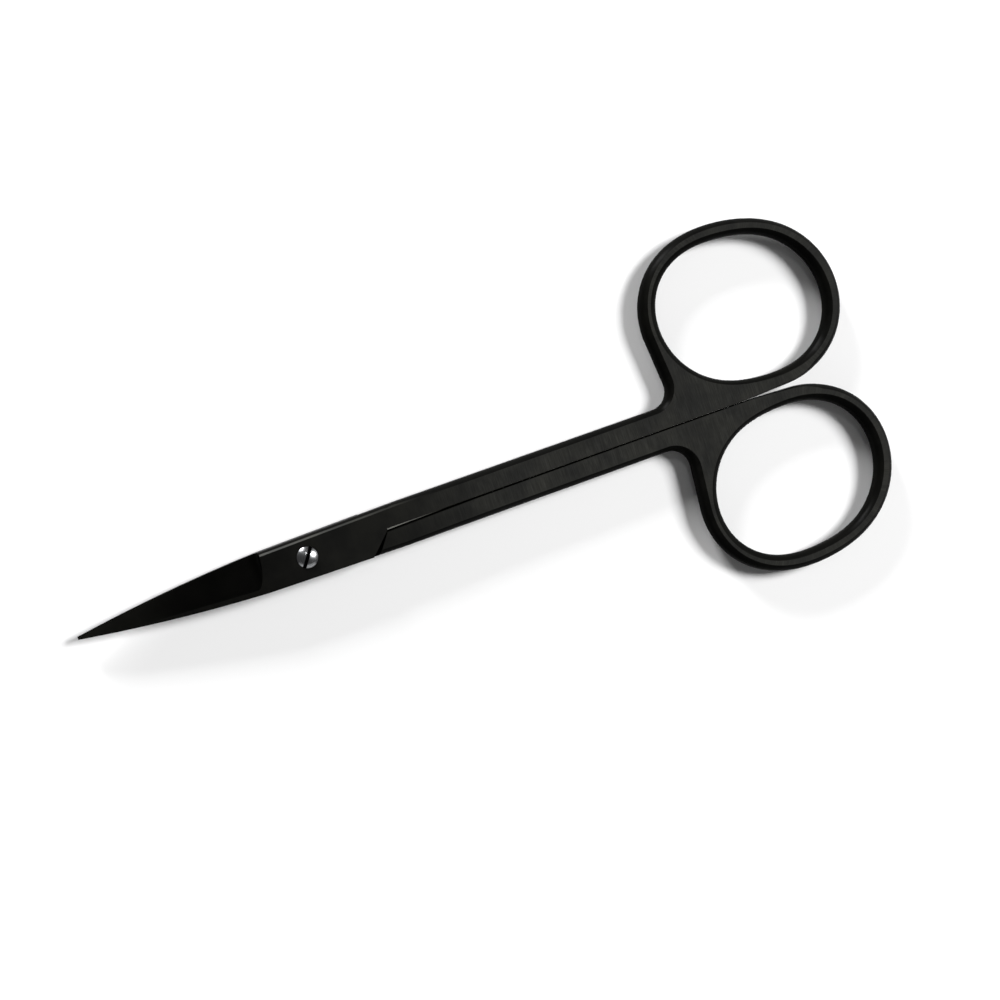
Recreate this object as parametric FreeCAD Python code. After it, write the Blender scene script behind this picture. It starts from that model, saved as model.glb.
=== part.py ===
# Iris scissors: two forged halves that cross at a slotted pivot screw.
# Millimetres. The pivot axis is Z, the blades point along -X and the finger rings lie toward +X.
# The front half has its ring on the +Y side; the back half is the same forging turned over about X.
# The outer face of the back half at the joint lies on z = 0.
import FreeCAD
import Part
import math
import os

# Lengths from the pivot axis
blade_length = 32.45
handle_length = 87.7
joint_front = 6.4
joint_back = 14.0
taper_start = 12.5
rounding_full = 25.0
lip_full = 25.0

# Thickness of the closed pair
joint_thickness = 3.4
ring_thickness = 2.8
tip_thickness = 0.9

# Half widths of the closed pair
tip_half_width = 0.2
blade_station = 20.0
blade_half_width = 1.85
edge_setback = 0.18
joint_front_half_width = 2.88
joint_half_width = 3.16
shank_half_width = 3.24

# Lap end on the outer side of each half, and the shoulder that it closes against
lap_end_inner = 11.75
lap_end_outer = 8.7
shoulder_inner = 11.95
shoulder_outer = 9.6
shoulder_foot = 8.95

# Slant of the seam: how far its middle stands across the centre line at the outer face
lap_slant = 0.3
lip_slant = 0.06

# Finger opening: an oval with its long way leaning a little, and slightly square corners
opening_length = 26.1
opening_width = 21.15
opening_lean = -10.6
opening_squareness = 0.125
squareness_lean = 51.7
ring_offset = 13.2

# Lengths along the handle from the middle of the finger opening: two toward the blades, one away from them
taper_end_reach = 15.98
seam_end_reach = 2.48
heel_reach = 3.52

# Ring around the opening, and how it runs into the shank and the seam
wall_end = 2.67
wall_side = 2.405
ring_lean = -9.5
ring_squareness = 0.07
ring_squareness_lean = 50.0
neck_angle = 181.3
neck_fillet = 2.75
heel_gap = 0.3
toe_angle = -55.0

# Rounding of the sides: how far the flat face stands back from the widest outline
joint_rounding = 0.65
joint_rounding_power = 4.0
shank_rounding = 0.64
shank_rounding_height = 1.5
shank_end_rounding = 0.74
ring_rounding = 0.83
neck_rounding = 1.18
heel_rounding = 0.29
opening_rounding_end = 1.07
opening_rounding_side = 0.76
ring_rounding_power = 2.4
seam_rounding = 0.11
seam_rounding_power = 2.0

# Ground facet on the outer face of each blade
facet_start = 7.85
facet_inset = 2.05
facet_angle = 17.8
facet_yaw = 3.2
facet_runout = 1.5

# Chamfer on the outer seam edge, running out behind the lap
seam_chamfer = 0.2

# Pivot screw
screw_diameter = 2.0
head_diameter = 3.0
head_seat_depth = 0.8
head_rim = 0.05
head_dome = 0.54
slot_width = 0.52
slot_depth = 0.65
slot_angle = 55.0

# Clearances
face_clearance = 0.02
seam_clearance = 0.04
screw_clearance = 0.05
head_clearance = 0.06
under_head_clearance = 0.02

# How far cutting bodies reach past the surfaces that they cut
overrun = 5.0

joint_half = joint_thickness / 2
ring_half = ring_thickness / 2
tip_half = tip_thickness / 2
level_reach = joint_half + 0.05
ring_x = handle_length - opening_length / 2 - wall_end
taper_end = ring_x - taper_end_reach
seam_end = ring_x - seam_end_reach
oval_points = 24


def vec(x, y, z=0.0):
    return FreeCAD.Vector(x, y, z)


def polar(centre, reach, angle):
    return centre + vec(reach * math.cos(angle), reach * math.sin(angle))


# Stacked outlines: each side of a half is a smooth surface through the same outline at several heights

def levels():
    steps = [0.0, 0.3, 0.55, 0.72, 0.87, 1.0]
    heights = [level_reach * step for step in steps]
    return [-height for height in reversed(heights[1:])] + heights


def stand_back(size, half_thickness, power, z):
    return size * (abs(z) / half_thickness) ** power


def ring_stand_back(size, z):
    return stand_back(size, ring_half, ring_rounding_power, z)


def oval_reach(length, width, lean, squareness, square_lean, angle):
    """Distance from the middle of the finger opening to an oval around it."""
    reach = (length + width) / 4
    reach += (length - width) / 4 * math.cos(2 * (angle - math.radians(lean)))
    return reach + squareness * math.cos(4 * (angle - math.radians(square_lean)))


def closed_curve(reach_at, z):
    """Closed smooth curve around the middle of the finger opening, starting below it."""
    centre = vec(ring_x, ring_offset, z)
    angles = [math.radians(270 + 360 * step / oval_points) for step in range(oval_points)]
    curve = Part.BSplineCurve()
    curve.interpolate(Points=[polar(centre, reach_at(angle), angle) for angle in angles], PeriodicFlag=True)
    return curve


def opening_outline(z):
    length = opening_length + 2 * ring_stand_back(opening_rounding_end, z)
    width = opening_width + 2 * ring_stand_back(opening_rounding_side, z)

    def reach_at(angle):
        return oval_reach(length, width, opening_lean, opening_squareness, squareness_lean, angle)

    return Part.Wire(closed_curve(reach_at, z).toShape())


def ring_outline(z):
    """Outside of the ring; its rounding is widest beside the neck and narrow at the seam."""
    length = opening_length + 2 * wall_end
    width = opening_width + 2 * wall_side

    def reach_at(angle):
        beside_neck = max(0, -math.cos(angle)) ** 4
        at_seam = max(0, -math.sin(angle)) ** 12
        rounding = ring_rounding
        rounding += (neck_rounding - ring_rounding) * beside_neck
        rounding += (heel_rounding - ring_rounding) * at_seam
        reach = oval_reach(length, width, ring_lean, ring_squareness, ring_squareness_lean, angle)
        return reach - ring_stand_back(rounding, z)

    return closed_curve(reach_at, z)


def point_on(curve, angle, z):
    """Parameter, place and direction of the curve where it faces an angle from the ring's middle."""
    centre = vec(ring_x, ring_offset, z)
    aim = math.radians(angle)
    ray = Part.LineSegment(centre, polar(centre, 2 * opening_length, aim))
    place = curve.intersect(ray)[0]
    parameter = curve.parameter(vec(place.X, place.Y, place.Z))
    return parameter, curve.value(parameter), curve.tangent(parameter)[0]


def crossing(start, along, place, heading):
    """Plan point where two straight lines meet."""
    gap = place - start
    turn = along.x * heading.y - along.y * heading.x
    return start + along * ((gap.x * heading.y - gap.y * heading.x) / turn)


def neck_arc(corner, along, rising, radius):
    """Round between the shank's side and the ring's side: its first, middle and last points."""
    half_angle = (along * -1).getAngle(rising) / 2
    first = corner - along * (radius / math.tan(half_angle))
    last = corner + rising * (radius / math.tan(half_angle))
    inward = (rising - along).normalize()
    centre = corner + inward * (radius / math.sin(half_angle))
    return first, centre - inward * radius, last


def tangent_arc_middle(start, along, end):
    """Middle of the arc that leaves a point in a given direction and ends at another point."""
    chord = end - start
    bisector = (along / along.Length + chord / chord.Length).normalize()
    return start + bisector * (chord.Length / 2 / math.cos(along.getAngle(chord) / 2))


def seam_side(slant, z):
    """Where the seam's side of a half stands across the centre line at a height."""
    edge_back = stand_back(seam_rounding, joint_half, seam_rounding_power, z)
    return seam_clearance + edge_back - slant * z / joint_half


def half_outline(z):
    """Closed outline of one whole half at a height above its middle plane."""
    joint_edge_back = stand_back(joint_rounding, joint_half, joint_rounding_power, z)
    shank_back = stand_back(shank_rounding, shank_rounding_height, ring_rounding_power, z)
    shank_end_back = ring_stand_back(shank_end_rounding, z)

    tip_spine = vec(-blade_length, -tip_half_width, z)
    tip_edge = vec(-blade_length, 0, z)
    edge_middle = vec(-blade_station, blade_half_width - edge_setback, z)
    edge_end = vec(-joint_front, joint_front_half_width - joint_edge_back, z)
    shank_start = vec(joint_back, shank_half_width - joint_edge_back, z)
    shank_full = vec(rounding_full, shank_half_width - shank_back, z)
    shank_aim = vec(taper_end, shank_half_width - shank_end_back, z)

    ring = ring_outline(z)
    ring_end, side, side_heading = point_on(ring, neck_angle, z)
    ring_start, toe, _ = point_on(ring, toe_angle, z)

    along = (shank_aim - shank_full).normalize()
    corner = crossing(shank_full, along, side, side_heading)
    rising = (side - corner).normalize()
    neck_radius = neck_fillet + ring_stand_back(neck_rounding, z)
    neck_start, neck_middle, neck_end = neck_arc(corner, along, rising, neck_radius)

    seam_foot = vec(seam_end, seam_side(0, z), z)
    heel = vec(ring_x + heel_reach, heel_gap + ring_stand_back(heel_rounding, z), z)
    heel_middle = tangent_arc_middle(heel, heel - seam_foot, toe)
    lip_end = vec(lip_full, seam_side(lip_slant, z), z)
    lap_corner = vec(lap_end_inner, seam_side(lap_slant, z), z)
    lap_foot = vec(lap_end_outer, -joint_half_width, z)
    spine_start = vec(-joint_front, -joint_front_half_width, z)
    spine_middle = vec(-blade_station, -blade_half_width, z)
    edges = [
        Part.LineSegment(tip_spine, tip_edge),
        Part.Arc(tip_edge, edge_middle, edge_end),
        Part.LineSegment(edge_end, shank_start),
        Part.LineSegment(shank_start, shank_full),
        Part.LineSegment(shank_full, neck_start),
        Part.Arc(neck_start, neck_middle, neck_end),
        Part.LineSegment(neck_end, side),
        ring.trim(ring_start, ring_end),
        Part.Arc(toe, heel_middle, heel),
        Part.LineSegment(heel, seam_foot),
        Part.LineSegment(seam_foot, lip_end),
        Part.LineSegment(lip_end, lap_corner),
        Part.LineSegment(lap_corner, lap_foot),
        Part.LineSegment(lap_foot, spine_start),
        Part.Arc(spine_start, spine_middle, tip_spine),
    ]
    return Part.Wire([edge.toShape() for edge in edges])


def side_profile():
    """Long body with the half's thickness as seen from the side."""
    stations = [
        (-blade_length - overrun, tip_half),
        (-blade_length, tip_half),
        (-joint_front, joint_half),
        (taper_start, joint_half),
        (taper_end, ring_half),
        (handle_length + overrun, ring_half),
    ]
    reach = ring_offset + opening_width
    points = [vec(x, -reach, z) for x, z in stations]
    points += [vec(x, -reach, -z) for x, z in reversed(stations)]
    return Part.Face(Part.makePolygon(points + points[:1])).extrude(vec(0, 2 * reach, 0))


def lap_pocket(shoulder_end, z):
    """Plan of the pocket behind the lap and the blade, up to the shoulder, at one height."""
    reach = ring_offset
    far_end = shoulder_inner + 2 * (shoulder_end - shoulder_inner)
    points = [
        vec(-blade_length - overrun, -reach, z),
        vec(shoulder_inner + overrun, -reach, z),
        vec(shoulder_inner + overrun, 0, z),
        vec(shoulder_inner, 0, z),
        vec(far_end, 2 * shank_half_width, z),
        vec(-blade_length - overrun, 2 * shank_half_width, z),
    ]
    return Part.makePolygon(points + points[:1])


def under_lap():
    """Space that the other half fills; the shoulder's wall leans toward the lap as it nears the inner face."""
    outer = lap_pocket(shoulder_outer, -joint_half)
    inner = lap_pocket(shoulder_foot, face_clearance)
    return Part.makeLoft([outer, inner], True, True)


def seam_chamfer_body():
    """Thin wedge along the outer seam edge, from the lap's corner to where the chamfer runs out."""
    corners = []
    fall = (joint_half - ring_half) / (taper_end - taper_start)
    stations = [
        (lap_end_inner - face_clearance, seam_chamfer, joint_half, lap_slant),
        (lip_full, 0, joint_half - fall * (lip_full - taper_start), lip_slant),
    ]
    for x, size, face, slant in stations:
        edge = seam_side(slant, face)
        low = vec(x, edge - 1, face - size - 1)
        high = vec(x, edge + size + 1, face + 1)
        corners.append(Part.makePolygon([low, high, vec(x, edge - 1, face + 1), low]))
    return Part.makeLoft(corners, True, True)


def facet_body():
    """Space that the ground facet opens over the blade, with the rounded runout at its root."""
    reach = blade_length + overrun
    height = 2 * facet_runout
    profile = [
        Part.LineSegment(vec(0, 0, height), vec(facet_runout, 0, height)),
        Part.LineSegment(vec(facet_runout, 0, height), vec(facet_runout, 0, facet_runout)),
        Part.Arc(
            vec(facet_runout, 0, facet_runout),
            vec(facet_runout * math.sin(math.pi / 4), 0, facet_runout * (1 - math.cos(math.pi / 4))),
            vec(0, 0, 0),
        ),
        Part.LineSegment(vec(0, 0, 0), vec(-reach, 0, 0)),
        Part.LineSegment(vec(-reach, 0, 0), vec(-reach, 0, height)),
        Part.LineSegment(vec(-reach, 0, height), vec(0, 0, height)),
    ]
    face = Part.Face(Part.Wire([edge.toShape() for edge in profile]))
    face.translate(vec(0, -overrun, 0))
    body = face.extrude(vec(0, 3 * overrun, 0))
    fall = (joint_half - tip_half) / (blade_length - joint_front)
    body.rotate(vec(0, 0, 0), vec(1, 0, 0), -facet_angle)
    body.rotate(vec(0, 0, 0), vec(0, 1, 0), -math.degrees(math.atan(fall)))
    body.rotate(vec(0, 0, 0), vec(0, 0, 1), -facet_yaw)
    body.translate(vec(-facet_start, -facet_inset, joint_half - fall * (facet_start - joint_front)))
    return body


def half_forging():
    """One half about its middle plane, without the screw's hole."""
    body = Part.makeLoft([half_outline(z) for z in levels()], True, False)
    opening = Part.makeLoft([opening_outline(z) for z in levels()], True, False)
    body = body.cut(opening).common(side_profile()).cut(under_lap())
    return body.cut(facet_body()).cut(seam_chamfer_body())


def front_half(forging):
    bore = Part.makeCylinder(screw_diameter / 2 + screw_clearance, joint_thickness, vec(0, 0, 0))
    seat_floor = joint_half - head_seat_depth
    seat = Part.makeCylinder(head_diameter / 2 + head_clearance, head_seat_depth + overrun, vec(0, 0, seat_floor))
    return forging.cut(bore.fuse(seat))


def back_half(forging):
    body = forging.copy()
    body.rotate(vec(0, 0, 0), vec(1, 0, 0), 180)
    bore = Part.makeCylinder(screw_diameter / 2, joint_thickness, vec(0, 0, -joint_thickness))
    return body.cut(bore)


def pivot_screw():
    """Screw with a low domed head, flush with the outer face of the back half."""
    radius = screw_diameter / 2
    head_radius = head_diameter / 2
    head_foot = joint_half - head_seat_depth + under_head_clearance
    rim_top = joint_half + head_rim
    dome_top = rim_top + head_dome
    shank = Part.makeCylinder(radius, head_foot + joint_half, vec(0, 0, -joint_half))
    rim = Part.makeCylinder(head_radius, rim_top - head_foot, vec(0, 0, head_foot))
    dome_radius = (head_radius ** 2 + head_dome ** 2) / (2 * head_dome)
    ball = Part.makeSphere(dome_radius, vec(0, 0, dome_top - dome_radius))
    dome = ball.common(Part.makeCylinder(head_radius, head_dome, vec(0, 0, rim_top)))
    slot = Part.makeBox(head_diameter + 1, slot_width, slot_depth + 1)
    slot.translate(vec(-(head_diameter + 1) / 2, -slot_width / 2, dome_top - slot_depth))
    slot.rotate(vec(0, 0, 0), vec(0, 0, 1), slot_angle)
    return shank.fuse(rim).fuse(dome).removeSplitter().cut(slot)


def main():
    os.makedirs("parts", exist_ok=True)
    forging = half_forging()
    pieces = {
        "front_half": front_half(forging),
        "back_half": back_half(forging),
        "pivot_screw": pivot_screw(),
    }
    for name, shape in pieces.items():
        solid = shape.Solids[0]
        solid.translate(vec(0, 0, joint_half))
        solid.exportStep("parts/" + name + ".step")
        print(name, "solids", len(shape.Solids), "valid", solid.isValid(), "volume", round(solid.Volume, 2))


main()
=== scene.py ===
import math
import bpy
from mathutils import Matrix, Vector


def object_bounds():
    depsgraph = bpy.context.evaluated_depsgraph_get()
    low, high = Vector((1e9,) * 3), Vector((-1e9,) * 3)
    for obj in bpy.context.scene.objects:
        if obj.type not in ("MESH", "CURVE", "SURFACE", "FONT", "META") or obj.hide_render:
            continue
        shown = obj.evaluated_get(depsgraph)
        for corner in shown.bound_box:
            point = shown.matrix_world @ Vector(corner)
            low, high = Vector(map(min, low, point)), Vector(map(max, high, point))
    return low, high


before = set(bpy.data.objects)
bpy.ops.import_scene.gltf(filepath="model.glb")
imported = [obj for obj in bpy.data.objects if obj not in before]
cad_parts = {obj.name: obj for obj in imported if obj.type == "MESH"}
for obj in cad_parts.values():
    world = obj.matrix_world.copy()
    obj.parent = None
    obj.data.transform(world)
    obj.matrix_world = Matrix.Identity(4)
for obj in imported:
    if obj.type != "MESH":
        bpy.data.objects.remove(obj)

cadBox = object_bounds()
print("frame loaded:", ", ".join(sorted(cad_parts)))


# Camera: looks down on the closed scissors, turned so that the blades point to the lower left
cameraValues = {
    "place": (-0.019816, 0.013347, 0.23066),
    "right": (0.9212, -0.3238, 0.2158),
    "up": (0.33, 0.944, 0.008),
    "lens": 59.427,
    "sensor": 36,
    "near": 0.01,
    "far": 10,
}


def makeCamera(values):
    right = Vector(values["right"]).normalized()
    up = Vector(values["up"])
    back = right.cross(up).normalized()
    up = back.cross(right)
    camera = bpy.data.objects.new("camera", bpy.data.cameras.new("camera"))
    bpy.context.scene.collection.objects.link(camera)
    turn = Matrix((right, up, back)).transposed().to_4x4()
    camera.matrix_world = Matrix.Translation(values["place"]) @ turn
    camera.data.lens = values["lens"]
    camera.data.sensor_width = values["sensor"]
    camera.data.clip_start = values["near"]
    camera.data.clip_end = values["far"]
    bpy.context.scene.camera = camera


makeCamera(cameraValues)
bpy.context.scene.view_settings.view_transform = "Standard"  # keeps the floor white and the coating black
print("camera set")


# Small helpers for node trees
def addNode(tree, kind, **settings):
    node = tree.nodes.new(kind)
    for name, value in settings.items():
        setattr(node, name, value)
    return node


def feed(tree, socket, value):
    if isinstance(value, bpy.types.NodeSocket):
        tree.links.new(value, socket)
    else:
        socket.default_value = value


def calc(tree, operation, first, second=0.0, third=0.0, clamp=False):
    node = addNode(tree, "ShaderNodeMath", operation=operation, use_clamp=clamp)
    feed(tree, node.inputs[0], first)
    feed(tree, node.inputs[1], second)
    feed(tree, node.inputs[2], third)
    return node.outputs[0]


def product(tree, first, *others):
    for other in others:
        first = calc(tree, "MULTIPLY", first, other)
    return first


def distance(tree, x, y):
    squares = calc(tree, "ADD", product(tree, x, x), product(tree, y, y))
    return calc(tree, "SQRT", squares)


def ramp(tree, value, low, high, lowOut=0.0, highOut=1.0):
    node = addNode(tree, "ShaderNodeMapRange", interpolation_type="SMOOTHSTEP", clamp=True)
    feed(tree, node.inputs["Value"], value)
    feed(tree, node.inputs["From Min"], low)
    feed(tree, node.inputs["From Max"], high)
    feed(tree, node.inputs["To Min"], lowOut)
    feed(tree, node.inputs["To Max"], highOut)
    return node.outputs["Result"]


def blendValue(tree, mask, first, second):
    node = addNode(tree, "ShaderNodeMix", data_type="FLOAT")
    feed(tree, node.inputs[0], mask)
    feed(tree, node.inputs[2], first)
    feed(tree, node.inputs[3], second)
    return node.outputs[0]


def blendColour(tree, mask, first, second, kind="MIX"):
    node = addNode(tree, "ShaderNodeMix", data_type="RGBA", blend_type=kind)
    feed(tree, node.inputs[0], mask)
    feed(tree, node.inputs[6], first)
    feed(tree, node.inputs[7], second)
    return node.outputs[2]


def noise(tree, coordinate, scale, detail=2.0, roughness=0.5):
    node = addNode(tree, "ShaderNodeTexNoise")
    feed(tree, node.inputs["Vector"], coordinate)
    feed(tree, node.inputs["Scale"], scale)
    feed(tree, node.inputs["Detail"], detail)
    feed(tree, node.inputs["Roughness"], roughness)
    return node.outputs[0]


def vector(tree, x, y, z):
    node = addNode(tree, "ShaderNodeCombineXYZ")
    feed(tree, node.inputs[0], x)
    feed(tree, node.inputs[1], y)
    feed(tree, node.inputs[2], z)
    return node.outputs[0]


def separate(tree, given):
    node = addNode(tree, "ShaderNodeSeparateXYZ")
    feed(tree, node.inputs[0], given)
    return node.outputs


def bumpNormal(tree, height, depth):
    node = addNode(tree, "ShaderNodeBump")
    node.inputs["Distance"].default_value = depth
    node.inputs["Strength"].default_value = 1.0
    feed(tree, node.inputs["Height"], height)
    return node.outputs[0]


def newGroup(name, inputs, outputs):
    tree = bpy.data.node_groups.new(name, "ShaderNodeTree")
    for label, value in inputs:
        socket = tree.interface.new_socket(name=label, in_out="INPUT", socket_type="NodeSocketFloat")
        socket.default_value = value
    for label in outputs:
        tree.interface.new_socket(name=label, in_out="OUTPUT", socket_type="NodeSocketFloat")
    return tree, tree.nodes.new("NodeGroupInput").outputs, tree.nodes.new("NodeGroupOutput").inputs


def placeGroup(tree, group):
    return addNode(tree, "ShaderNodeGroup", node_tree=group).outputs


def newMaterial(name):
    material = bpy.data.materials.new(name)
    material.use_nodes = True
    return material, material.node_tree, material.node_tree.nodes["Principled BSDF"].inputs


# Brushed grain: fine straight scratches across the shanks, turning to cross the band of each ring
grainValues = {
    "ringGirth": 0.014,
    "footFade": 0.003,
    "farSide": (0.001, 0.006),
    "stretch": 0.05,
    "fineScale": 1.0,
    "fineDetail": 3.0,
    "fineRoughness": 0.6,
    "broadScale": 0.15,
}


def makeGrainGroup(values):
    tree, given, put = newGroup(
        "brushedGrain",
        [
            ("Spacing", 0.00012),
            ("Ring Middle X", 0.07198),
            ("Ring Middle Y", 0.0132),
            ("Ring Foot Y", 0.0075),
        ],
        ["Grain", "Broad"],
    )
    place = addNode(tree, "ShaderNodeTexCoord").outputs["Object"]
    x, y, z = separate(tree, place)
    away = calc(tree, "ABSOLUTE", y)
    offX = calc(tree, "SUBTRACT", x, given["Ring Middle X"])
    offY = calc(tree, "SUBTRACT", away, given["Ring Middle Y"])
    reach = distance(tree, offX, offY)
    around = product(tree, calc(tree, "ARCTAN2", offY, offX), values["ringGirth"])
    side = calc(tree, "SIGN", y)
    footEnd = calc(tree, "ADD", given["Ring Foot Y"], values["footFade"])
    beyondFoot = ramp(tree, away, given["Ring Foot Y"], footEnd)
    farSide = ramp(tree, offX, *values["farSide"])
    inRing = calc(tree, "MAXIMUM", beyondFoot, farSide)
    rate = calc(tree, "DIVIDE", 1.0, given["Spacing"])
    slow = product(tree, rate, values["stretch"])
    across = vector(tree, product(tree, x, rate), product(tree, y, slow), side)
    radial = vector(tree, product(tree, around, rate), product(tree, reach, slow), side)
    fineAcross = noise(tree, across, values["fineScale"], values["fineDetail"], values["fineRoughness"])
    fineRadial = noise(tree, radial, values["fineScale"], values["fineDetail"], values["fineRoughness"])
    broadAcross = noise(tree, across, values["broadScale"])
    broadRadial = noise(tree, radial, values["broadScale"])
    tree.links.new(blendValue(tree, inRing, fineAcross, fineRadial), put["Grain"])
    tree.links.new(blendValue(tree, inRing, broadAcross, broadRadial), put["Broad"])
    return tree


# Zones of one half: flat face, ground facet, polished bevel on its own outer side with a painted highlight,
# seam chamfer with a painted highlight, worn edges and places.
# The first five pairs say how far the surface faces up or down, where 1 is level; the last three run along X.
zoneValues = {
    "flat": (0.975, 0.99),
    "ground": (0.915, 0.94),
    "sloped": (0.67, 0.73),
    "steep": (0.5, 0.6),
    "edge": (0.74, 0.84),
    "facingTip": -0.12,
    "ownSide": -0.000001,
    "seamReach": 0.0006,
    "joint": (-0.009, 0.006),
    "shank": (0.008, 0.034),
    "tip": (-0.032, -0.014),
}


def makeZoneGroup(values):
    tree, given, put = newGroup(
        "halfZones",
        [
            ("Joint Front", -0.0062),
            ("Runout End", -0.004),
            ("Bevel Start", -0.008),
            ("Bevel End", 0.022),
            ("Lap Corner", 0.0117),
            ("Chamfer End", 0.021),
            ("Middle Height", 0.0017),
        ],
        ["Flat", "Facet", "Bevel", "Chamfer", "Edge", "Runout", "Joint", "Shank", "Tip"],
    )
    coordinates = addNode(tree, "ShaderNodeTexCoord")
    x, y, z = separate(tree, coordinates.outputs["Object"])
    normal = separate(tree, coordinates.outputs["Normal"])
    facing = calc(tree, "ABSOLUTE", normal[2])
    flat = ramp(tree, facing, *values["flat"])
    notFlat = calc(tree, "SUBTRACT", 1.0, flat)

    blade = calc(tree, "LESS_THAN", x, given["Joint Front"])
    offBlade = calc(tree, "SUBTRACT", 1.0, blade)
    ground = ramp(tree, facing, *values["ground"])
    facet = product(tree, blade, ground, notFlat)
    facingTip = calc(tree, "LESS_THAN", normal[0], values["facingTip"])
    atRunout = product(tree, facingTip, calc(tree, "LESS_THAN", x, given["Runout End"]))
    bladeSide = product(tree, blade, calc(tree, "SUBTRACT", 1.0, ground))
    runout = product(tree, calc(tree, "MAXIMUM", bladeSide, atRunout), notFlat)

    above = calc(tree, "SUBTRACT", z, given["Middle Height"])
    ownSide = calc(tree, "GREATER_THAN", product(tree, above, y), values["ownSide"])
    sloped = product(tree, ramp(tree, facing, *values["sloped"]), notFlat, ownSide)
    steep = product(tree, ramp(tree, facing, *values["steep"]), notFlat, ownSide)
    # painted highlight: the sloped edge on the half's own outer side is lightened from the joint's front,
    # fading out along the shank
    fading = product(tree, ramp(tree, x, given["Bevel Start"], given["Bevel End"], 1.0, 0.0), offBlade)
    bevelHighlight = product(tree, sloped, fading)
    beyondLap = calc(tree, "GREATER_THAN", x, given["Lap Corner"])
    atSeam = calc(tree, "LESS_THAN", calc(tree, "ABSOLUTE", y), values["seamReach"])
    # painted highlight: the steep seam chamfer is lightened from the lap corner, fading out along the shank
    running = ramp(tree, x, given["Lap Corner"], given["Chamfer End"], 1.0, 0.0)
    chamfer = product(tree, steep, beyondLap, atSeam, running)
    edge = product(tree, ramp(tree, facing, *values["edge"]), notFlat, offBlade)

    made = {
        "Flat": flat,
        "Facet": facet,
        "Bevel": bevelHighlight,
        "Chamfer": chamfer,
        "Edge": edge,
        "Runout": runout,
        "Joint": ramp(tree, x, *values["joint"]),
        "Shank": ramp(tree, x, *values["shank"]),
        "Tip": ramp(tree, x, *values["tip"], 1.0, 0.0),
    }
    for label, mask in made.items():
        tree.links.new(mask, put[label])
    return tree


grainGroup = makeGrainGroup(grainValues)
zoneGroup = makeZoneGroup(zoneValues)
print("shared effects made")


# Black coating on both halves: satin brushed faces, darker rounded sides, smooth ground facets, painted
# highlights on the polished bevel and the seam chamfer
coatingValues = {
    "jointFront": (0.0042, 0.0042, 0.0038, 1),
    "jointFace": (0.0075, 0.0075, 0.0069, 1),
    "shankFace": (0.0145, 0.0145, 0.0134, 1),
    "grainLight": (0.0275, 0.0275, 0.0256, 1),
    "side": (0.0032, 0.0032, 0.0029, 1),
    "wornEdge": (0.005, 0.005, 0.0045, 1),
    "facet": (0.0011, 0.0011, 0.001, 1),
    "facetTip": (0.004, 0.004, 0.0035, 1),
    # painted highlight: this light colour stands in for the light that the polished bevel catches
    "bevelHighlight": (0.057, 0.057, 0.0535, 1),
    # painted highlight: this light colour stands in for the light that the seam chamfer catches
    "chamfer": (0.21, 0.21, 0.197, 1),
    "cloudDark": (0.8, 0.81, 0.83, 1),
    "cloudLight": (1.17, 1.17, 1.13, 1),
    "cloud": (0.3, 0.7),
    "cloudScale": 240.0,
    "cloudDetail": 4.0,
    "cloudRoughness": 0.6,
    "streak": (0.3, 0.75),
    "broadStreak": (0.25, 0.7, 0.45, 1.0),
    "worn": (0.35, 0.65, 0.35, 1.0),
    "wornScale": 900.0,
    "wornDetail": 3.0,
    "jointRoughness": 0.34,
    "faceRoughness": 0.42,
    "sideRoughness": 0.32,
    "facetRoughness": 0.16,
    "runoutRoughness": 0.28,
    "bevelRoughness": 0.38,
    "roughnessSpread": 0.1,
    "specular": 0.012,
    "grainDepth": 0.000004,
    "jointGrain": 0.2,
    "speckScale": 5200.0,
    "speckHeight": 0.25,
}


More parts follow.
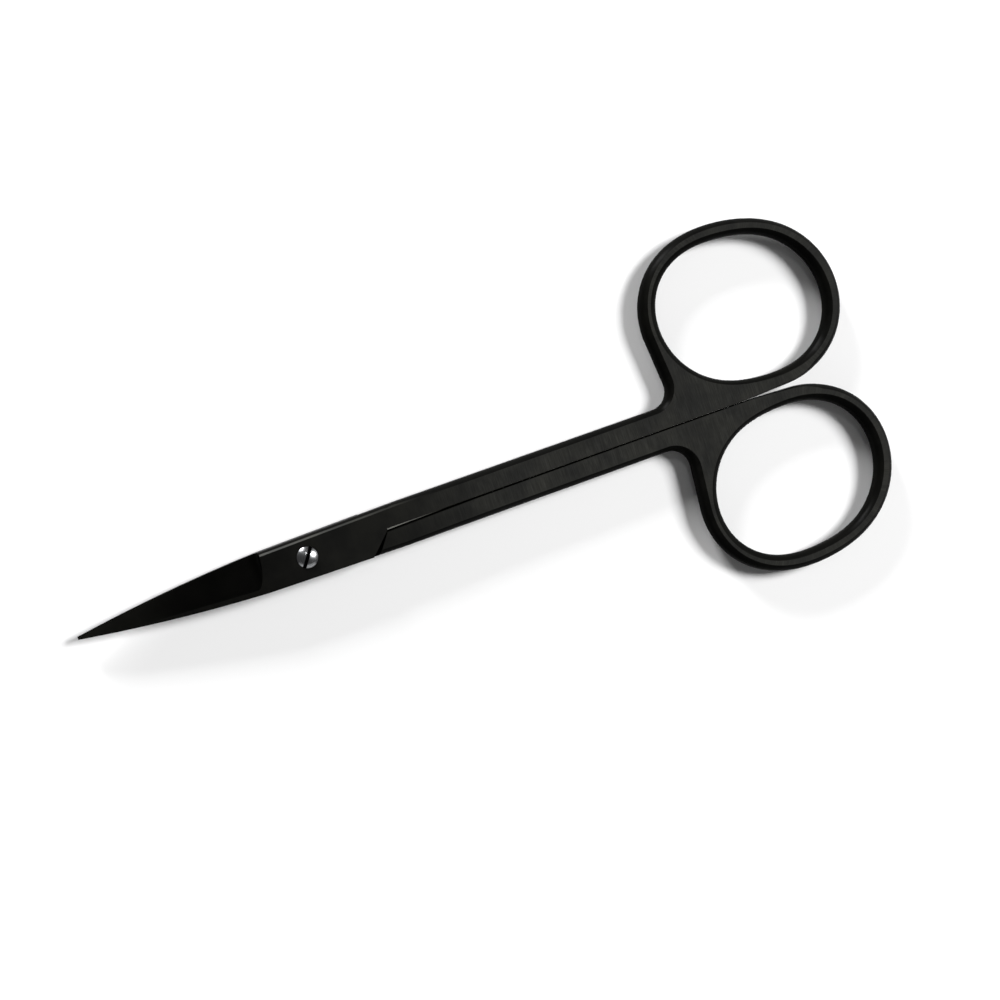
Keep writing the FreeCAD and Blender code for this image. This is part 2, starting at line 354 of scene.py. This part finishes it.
def makeCoating(values):
    material, tree, shader = newMaterial("blackCoating")
    grain = placeGroup(tree, grainGroup)
    zone = placeGroup(tree, zoneGroup)
    place = addNode(tree, "ShaderNodeTexCoord").outputs["Object"]
    cloudy = noise(tree, place, values["cloudScale"], values["cloudDetail"], values["cloudRoughness"])
    speck = noise(tree, place, values["speckScale"])
    patchy = noise(tree, place, values["wornScale"], values["wornDetail"])

    fineStreak = ramp(tree, grain["Grain"], *values["streak"])
    streak = product(tree, fineStreak, ramp(tree, grain["Broad"], *values["broadStreak"]))
    brushed = blendColour(tree, streak, values["shankFace"], values["grainLight"])
    joint = blendColour(tree, zone["Joint"], values["jointFront"], values["jointFace"])
    face = blendColour(tree, zone["Shank"], joint, brushed)
    facetTone = blendColour(tree, zone["Tip"], values["facet"], values["facetTip"])
    colour = blendColour(tree, zone["Flat"], values["side"], face)
    worn = product(tree, zone["Edge"], ramp(tree, patchy, *values["worn"]))
    colour = blendColour(tree, worn, colour, values["wornEdge"])
    # painted highlight along the polished bevel
    colour = blendColour(tree, zone["Bevel"], colour, values["bevelHighlight"])
    # painted highlight along the seam chamfer
    colour = blendColour(tree, zone["Chamfer"], colour, values["chamfer"])
    colour = blendColour(tree, calc(tree, "MAXIMUM", zone["Facet"], zone["Runout"]), colour, facetTone)
    tint = blendColour(tree, ramp(tree, cloudy, *values["cloud"]), values["cloudDark"], values["cloudLight"])
    tree.links.new(blendColour(tree, 1.0, colour, tint, "MULTIPLY"), shader["Base Color"])

    faceRoughness = blendValue(tree, zone["Shank"], values["jointRoughness"], values["faceRoughness"])
    roughness = blendValue(tree, zone["Flat"], values["sideRoughness"], faceRoughness)
    roughness = blendValue(tree, zone["Facet"], roughness, values["facetRoughness"])
    roughness = blendValue(tree, zone["Runout"], roughness, values["runoutRoughness"])
    polished = calc(tree, "MAXIMUM", zone["Bevel"], zone["Chamfer"])
    roughness = blendValue(tree, polished, roughness, values["bevelRoughness"])
    uneven = product(tree, calc(tree, "SUBTRACT", cloudy, 0.5), values["roughnessSpread"])
    tree.links.new(calc(tree, "ADD", roughness, uneven, clamp=True), shader["Roughness"])
    shader["Specular IOR Level"].default_value = values["specular"]

    grainShare = blendValue(tree, zone["Shank"], values["jointGrain"], 1.0)
    brushHeight = product(tree, grain["Grain"], zone["Flat"], grainShare)
    height = calc(tree, "ADD", brushHeight, product(tree, speck, values["speckHeight"]))
    tree.links.new(bumpNormal(tree, height, values["grainDepth"]), shader["Normal"])
    return material


# Bare polished steel of the pivot screw, turned on its face, with painted shade in the slot
screwValues = {
    "steel": (0.55, 0.56, 0.57, 1),
    "shade": (0.33, 0.335, 0.345, 1),
    # painted shade: near black for the recess of the slot
    "slotShade": (0.012, 0.012, 0.013, 1),
    "slotHeights": (0.0034, 0.00352),
    "turned": (0.35, 0.65),
    "cloudScale": 900.0,
    "cloudDetail": 3.0,
    "roughness": 0.16,
    "roughnessSpread": 0.14,
    "ringSpacing": 0.00006,
    "ringDetail": 3.0,
    "ringDepth": 0.0000012,
}


def makeScrewSteel(values):
    material, tree, shader = newMaterial("polishedScrew")
    place = addNode(tree, "ShaderNodeTexCoord").outputs["Object"]
    x, y, z = separate(tree, place)
    turns = calc(tree, "DIVIDE", distance(tree, x, y), values["ringSpacing"])
    rings = noise(tree, vector(tree, turns, 0.0, 0.0), 1.0, values["ringDetail"])
    cloudy = noise(tree, place, values["cloudScale"], values["cloudDetail"])
    steel = blendColour(tree, ramp(tree, rings, *values["turned"]), values["shade"], values["steel"])
    # painted shade: the screw is darkened to near black below a set height just above its seat, which takes
    # in the slot
    slotShadeMask = ramp(tree, z, *values["slotHeights"], 1.0, 0.0)
    tree.links.new(blendColour(tree, slotShadeMask, steel, values["slotShade"]), shader["Base Color"])
    shader["Metallic"].default_value = 1.0
    uneven = product(tree, cloudy, values["roughnessSpread"])
    tree.links.new(calc(tree, "ADD", values["roughness"], uneven), shader["Roughness"])
    tree.links.new(bumpNormal(tree, rings, values["ringDepth"]), shader["Normal"])
    return material


coating = makeCoating(coatingValues)
screwSteel = makeScrewSteel(screwValues)
for name, material in (("front_half", coating), ("back_half", coating), ("pivot_screw", screwSteel)):
    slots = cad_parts[name].data.materials
    slots.clear()
    slots.append(material)
print("materials set")


# Floor: a plain pale sheet just under the scissors
floorValues = {
    "size": 6.0,
    "middle": 0.03,
    "gap": 0.00005,
    "colour": (0.9, 0.9, 0.9, 1),
    "roughness": 0.7,
}


def makeFloor(values):
    place = (values["middle"], 0, cadBox[0].z - values["gap"])
    bpy.ops.mesh.primitive_plane_add(size=values["size"], location=place)
    floor = bpy.context.object
    floor.name = "floor"
    material, tree, shader = newMaterial("paleFloor")
    shader["Base Color"].default_value = values["colour"]
    shader["Roughness"].default_value = values["roughness"]
    floor.data.materials.append(material)


makeFloor(floorValues)
print("floor set")


# Light: a dim sky, a large panel over the handles that whitens the floor, a low key beyond the upper edge for
# the bevels, a small lamp that shows in the screw's dome, and a wide dim fill from the lower side
lightValues = {
    "sky": (1, 1, 1, 1),
    "skyStrength": 0.06,
    "aim": (0.03, 0, 0),
    "panels": [
        {
            "name": "floorPanel",
            "turn": 4,
            "height": 41,
            "distance": 2.0,
            "wide": 0.7,
            "tall": 0.7,
            "power": 53.0,
        },
        {
            "name": "keyPanel",
            "turn": 103.7,
            "height": 14,
            "distance": 1.5,
            "wide": 0.42,
            "tall": 0.36,
            "power": 32.0,
        },
        {
            "name": "topPanel",
            "turn": 84,
            "height": 62,
            "distance": 2.0,
            "wide": 0.1,
            "tall": 0.3,
            "power": 1.2,
        },
        {
            "name": "fillPanel",
            "turn": -105,
            "height": 20,
            "distance": 1.5,
            "wide": 3.4,
            "tall": 0.8,
            "power": 4.6,
        },
    ],
}


def makePanel(values, aim):
    lamp = bpy.data.lights.new(values["name"], "AREA")
    lamp.shape = "RECTANGLE"
    lamp.size = values["wide"]
    lamp.size_y = values["tall"]
    lamp.energy = values["power"]
    holder = bpy.data.objects.new(values["name"], lamp)
    bpy.context.scene.collection.objects.link(holder)
    turn = math.radians(values["turn"])
    height = math.radians(values["height"])
    level = math.cos(height)
    toward = Vector((math.cos(turn) * level, math.sin(turn) * level, math.sin(height)))
    holder.location = Vector(aim) + toward * values["distance"]
    holder.rotation_euler = (-toward).to_track_quat("-Z", "Y").to_euler()


def makeLight(values):
    world = bpy.data.worlds.new("softSky")
    world.use_nodes = True
    sky = world.node_tree.nodes["Background"]
    sky.inputs["Color"].default_value = values["sky"]
    sky.inputs["Strength"].default_value = values["skyStrength"]
    bpy.context.scene.world = world
    for panel in values["panels"]:
        makePanel(panel, values["aim"])


makeLight(lightValues)
print("light set")
